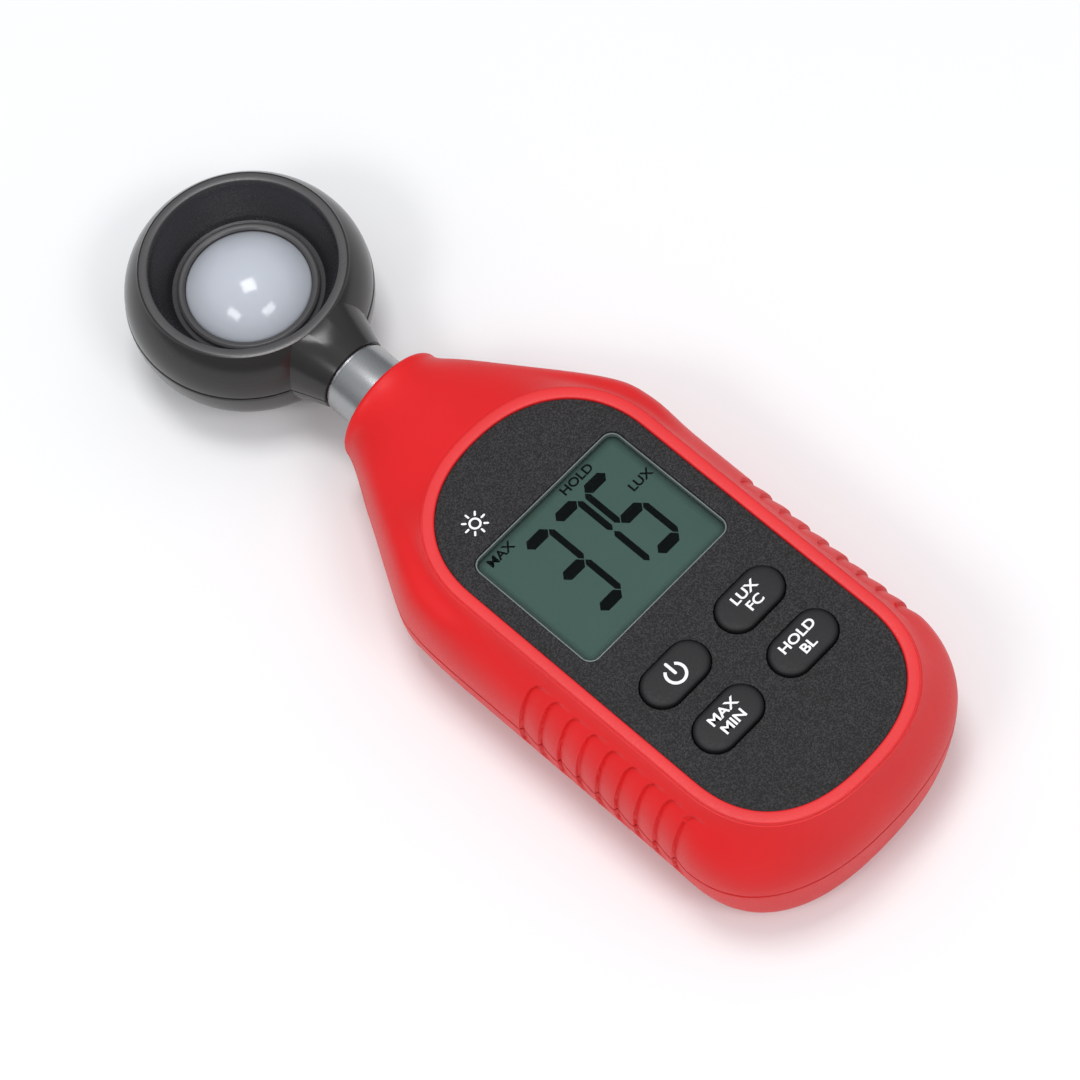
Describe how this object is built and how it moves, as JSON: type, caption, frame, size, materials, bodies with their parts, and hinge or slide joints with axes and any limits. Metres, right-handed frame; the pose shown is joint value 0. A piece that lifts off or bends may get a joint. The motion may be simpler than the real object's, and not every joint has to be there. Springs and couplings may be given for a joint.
{
  "type": "handheld light meter",
  "caption": "Flat hand-held light meter: red two-part case, dark control panel with a display and rubber keys, and a round white-domed sensor head that swivels on the neck.",
  "frame": {"origin": "centre of the bounding box in plan, on the plane of the flat back", "axes": "+Y along the length towards the sensor head, +Z out of the display, +X to the right seen from the front"},
  "size_m": [0.0538, 0.1601, 0.028],
  "materials": {
    "red_shell": "fine satin moulding",
    "panel_plate": "fine spark texture",
    "clear_window": "clear",
    "display_cell": "clear",
    "white_moulding": "matte",
    "light_guide": "gloss",
    "silicone": "matte",
    "button_rubber": "satin",
    "carbon": "matte",
    "board_green": "solder mask",
    "gold_pads": "plated",
    "chip_black": "matte",
    "bright_can": "plated",
    "cell_jacket": "printed film",
    "lead_insulation": "extruded",
    "cable_jacket": "extruded",
    "bush_polymer": "matte",
    "silver_sleeve": "satin turned",
    "head_gunmetal": "satin gloss",
    "ring_grey": "gloss",
    "dome_white": "opal",
    "filter_glass": "polished",
    "detector": "gloss"
  },
  "bodies": {
    "case": {"front_case": "red_shell", "rear_case": "red_shell", "front_panel": "panel_plate", "display_window": "clear_window", "display_glass": "display_cell", "display_holder": "white_moulding", "backlight_plate": "light_guide", "backlight_led": "white_moulding", "contact_strips": "silicone", "key_mat": "silicone", "main_board": "board_green", "key_pads": "gold_pads", "processor": "chip_black", "board_parts": "chip_black", "clock_crystal": "bright_can", "cable_socket": "white_moulding", "board_screws": "bright_can", "battery_1": "cell_jacket", "battery_2": "cell_jacket", "battery_3": "cell_jacket", "battery_springs": "bright_can", "battery_plates": "bright_can", "battery_leads": "lead_insulation", "door_insert": "gold_pads", "case_screws": "bright_can", "swivel_bush": "bush_polymer", "friction_washer": "bright_can", "sensor_cable": "cable_jacket"},
    "head": {"swivel_shaft": "bright_can", "neck_sleeve": "silver_sleeve", "head_front": "head_gunmetal", "head_rear": "head_gunmetal", "head_screws": "bright_can", "sensor_ring": "ring_grey", "diffuser_dome": "dome_white", "sensor_holder": "chip_black", "colour_filter": "filter_glass", "photodiode": "detector", "sensor_board": "board_green", "sensor_socket": "white_moulding"},
    "button_power": {"button_power": "button_rubber", "pill_power": "carbon"},
    "button_unit": {"button_unit": "button_rubber", "pill_unit": "carbon"},
    "button_range": {"button_range": "button_rubber", "pill_range": "carbon"},
    "button_hold": {"button_hold": "button_rubber", "pill_hold": "carbon"},
    "door": {"battery_door": "red_shell"},
    "door_screw": {"door_screw": "bright_can"}
  },
  "joints": [
    {"name": "head_swivel", "type": "hinge", "parent": "case", "child": "head", "pos_m": [0, 0.03, 0.0134], "axis": [0, 1, 0], "range_deg": [-135, 135]},
    {"name": "press_power", "type": "slide", "parent": "case", "child": "button_power", "axis": [0, 0, -1], "range_m": [0, 0.0008], "stiffness_N_per_m": 800, "springref_m": -0.0002},
    {"name": "press_unit", "type": "slide", "parent": "case", "child": "button_unit", "axis": [0, 0, -1], "range_m": [0, 0.0008], "stiffness_N_per_m": 800, "springref_m": -0.0002},
    {"name": "press_range", "type": "slide", "parent": "case", "child": "button_range", "axis": [0, 0, -1], "range_m": [0, 0.0008], "stiffness_N_per_m": 800, "springref_m": -0.0002},
    {"name": "press_hold", "type": "slide", "parent": "case", "child": "button_hold", "axis": [0, 0, -1], "range_m": [0, 0.0008], "stiffness_N_per_m": 800, "springref_m": -0.0002},
    {"name": "door_lift", "type": "slide", "parent": "case", "child": "door", "axis": [0, 0, -1], "range_m": [0, 0.02]},
    {"name": "door_screw_turn", "type": "hinge", "parent": "door", "child": "door_screw", "pos_m": [0, -0.0693, 0.003], "axis": [0, 0, 1], "continuous": true}
  ]
}
